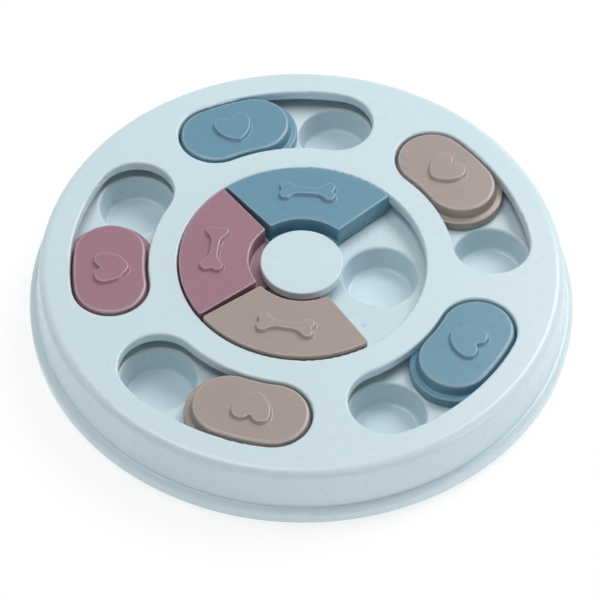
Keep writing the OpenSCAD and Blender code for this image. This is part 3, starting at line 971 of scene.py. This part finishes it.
# %% [markdown]
# ## The turning covers
#
# A turning cover is a piece of a ring with straight ends. Its flange runs under the ring opening's
# lip and its toe reaches under the hub cap, so it can't be lifted out. It could be cut from a
# turned ring, but the same loft works here: the lower outline has the flange and the toe, and the
# upper one is drawn in to the raised part.

# %% Sector outline
end_wall_inset_mm = 1.9
sector_corner_mm = 1.3
least_corner_mm = 0.2
sector_steps = {"outer": 40, "corner": 10, "wall": 24, "inner": 24}


def sector_outline(inner, outer, half_angle, inset, corner):
    """Part of a ring whose straight ends lie inset from the two radii at half_angle."""
    wall = np.array((math.cos(half_angle), math.sin(half_angle)))
    normal = np.array((-wall[1], wall[0]))

    def corner_centre(radius):
        depth = inset + corner
        return wall * math.sqrt(radius ** 2 - depth ** 2) - normal * depth

    far, near = corner_centre(outer - corner), corner_centre(inner + corner)
    far_dir, near_dir = heading((0, 0), far), heading((0, 0), near)
    square = half_angle + math.pi / 2
    half = np.vstack((
        arc((0, 0), outer, 0, far_dir, sector_steps["outer"]),
        arc(far, corner, far_dir, square, sector_steps["corner"]),
        line(far + normal * corner, near + normal * corner, sector_steps["wall"]),
        arc(near, corner, square, near_dir + math.pi, sector_steps["corner"]),
        arc((0, 0), inner, near_dir, 0, sector_steps["inner"]),
    ))
    end = np.array([(inner, 0.0)])
    return np.vstack((half, end, (half * (1, -1))[:0:-1]))


def corner_at(inset):
    """Corner radius of an outline that is drawn in, never quite sharp."""
    return max(sector_corner_mm - inset, least_corner_mm)


print("corner of a shell's hollow:", corner_at(shell_mm), "mm")

# %% [markdown]
# ### Lofting a turning cover
#
# The order of the loops is that of the sliding covers. The ledge round the raised part is higher at
# the flange than at the toe, so these loops have a height for each point instead of one for all. A
# flat ledge would be simpler, but the toe has to pass under the hub cap.

# %% Turning covers
flange_width_mm = 2.3
toe_length_mm = 8.9
flange_rise_mm = 4.25
toe_rise_mm = 2.4
ledge_edge_mm = 0.4
cove_mm = 0.7
sector_edge_mm = 0.8
ledge_steps, sector_edge_steps = 5, 7


def turning_cover(colour):
    span = turner_spans[colour]
    low, top = span["low"], span["high"] - relief_height_mm
    toe, flange = span["inner"], span["outer"]
    inner, outer = toe + toe_length_mm, flange - flange_width_mm
    half_angle = span["half_angle"] + math.asin(end_wall_inset_mm / flange)
    moulding = Moulding(f"turning_cover_{colour}")

    def base(inset):
        return sector_outline(toe + inset, flange - inset, half_angle,
                              end_wall_inset_mm + inset, corner_at(inset))

    def raised(inset, grow=0.0):
        """The raised part's outline, drawn in all round or grown at its two arcs only."""
        return sector_outline(inner + inset - grow, outer - inset + grow, half_angle,
                              end_wall_inset_mm + inset, corner_at(inset))

    # The ledge is higher at the flange than at the toe
    radii = np.hypot(*base(0).T)
    share = np.clip((flange - radii) / (flange - toe), 0, 1)
    ledge = low + flange_rise_mm + (toe_rise_mm - flange_rise_mm) * share
    hollow = raised(shell_mm)
    loops = [moulding.loop(hollow, top - shell_mm), moulding.loop(hollow, low)]
    loops += [moulding.loop(base(foot_edge_mm), low), moulding.loop(base(0), low + foot_edge_mm)]
    for step, (inset, height) in enumerate(rounding(0, ledge_edge_mm, ledge_steps)):
        outline = sector_outline(toe + inset, flange - inset, half_angle,
                                 end_wall_inset_mm, sector_corner_mm)
        rubbed_and_highlit = ledge_rub_and_highlight * ridge(step, ledge_steps)
        loops.append(moulding.loop(outline, ledge + height, rub_and_highlight=rubbed_and_highlit))
    # Hollow corner between the ledge and the raised part, and the top edge
    for out, rise in cove(cove_mm, cove_steps):
        loops.append(moulding.loop(raised(0, grow=out), ledge + rise))
    # The top edge gets its wear and its painted highlight along the middle of the turn
    for step, (inset, height) in enumerate(rounding(top, sector_edge_mm, sector_edge_steps)):
        loops.append(moulding.loop(raised(inset), height, rub_and_highlight=ridge(step, sector_edge_steps)))
    loops.append(moulding.loop(raised(sector_edge_mm + support_mm), top))
    moulding.loft(*loops)
    moulding.fill(loops[0])
    foot = raise_ornament(moulding, bone_outline, ((inner + outer) / 2, 0), top)
    moulding.fill(loops[-1], foot)
    piece = moulding.finish(span["direction"])
    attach(piece, f"turner_{colour}")
    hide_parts(f"bone_cover_{colour}")
    return piece


for colour in turner_spans:
    piece = turning_cover(colour)
    dress(piece, slots[f"bone_cover_{colour}"])
    print(piece.name, len(piece.data.vertices), "points", slots[f"bone_cover_{colour}"])
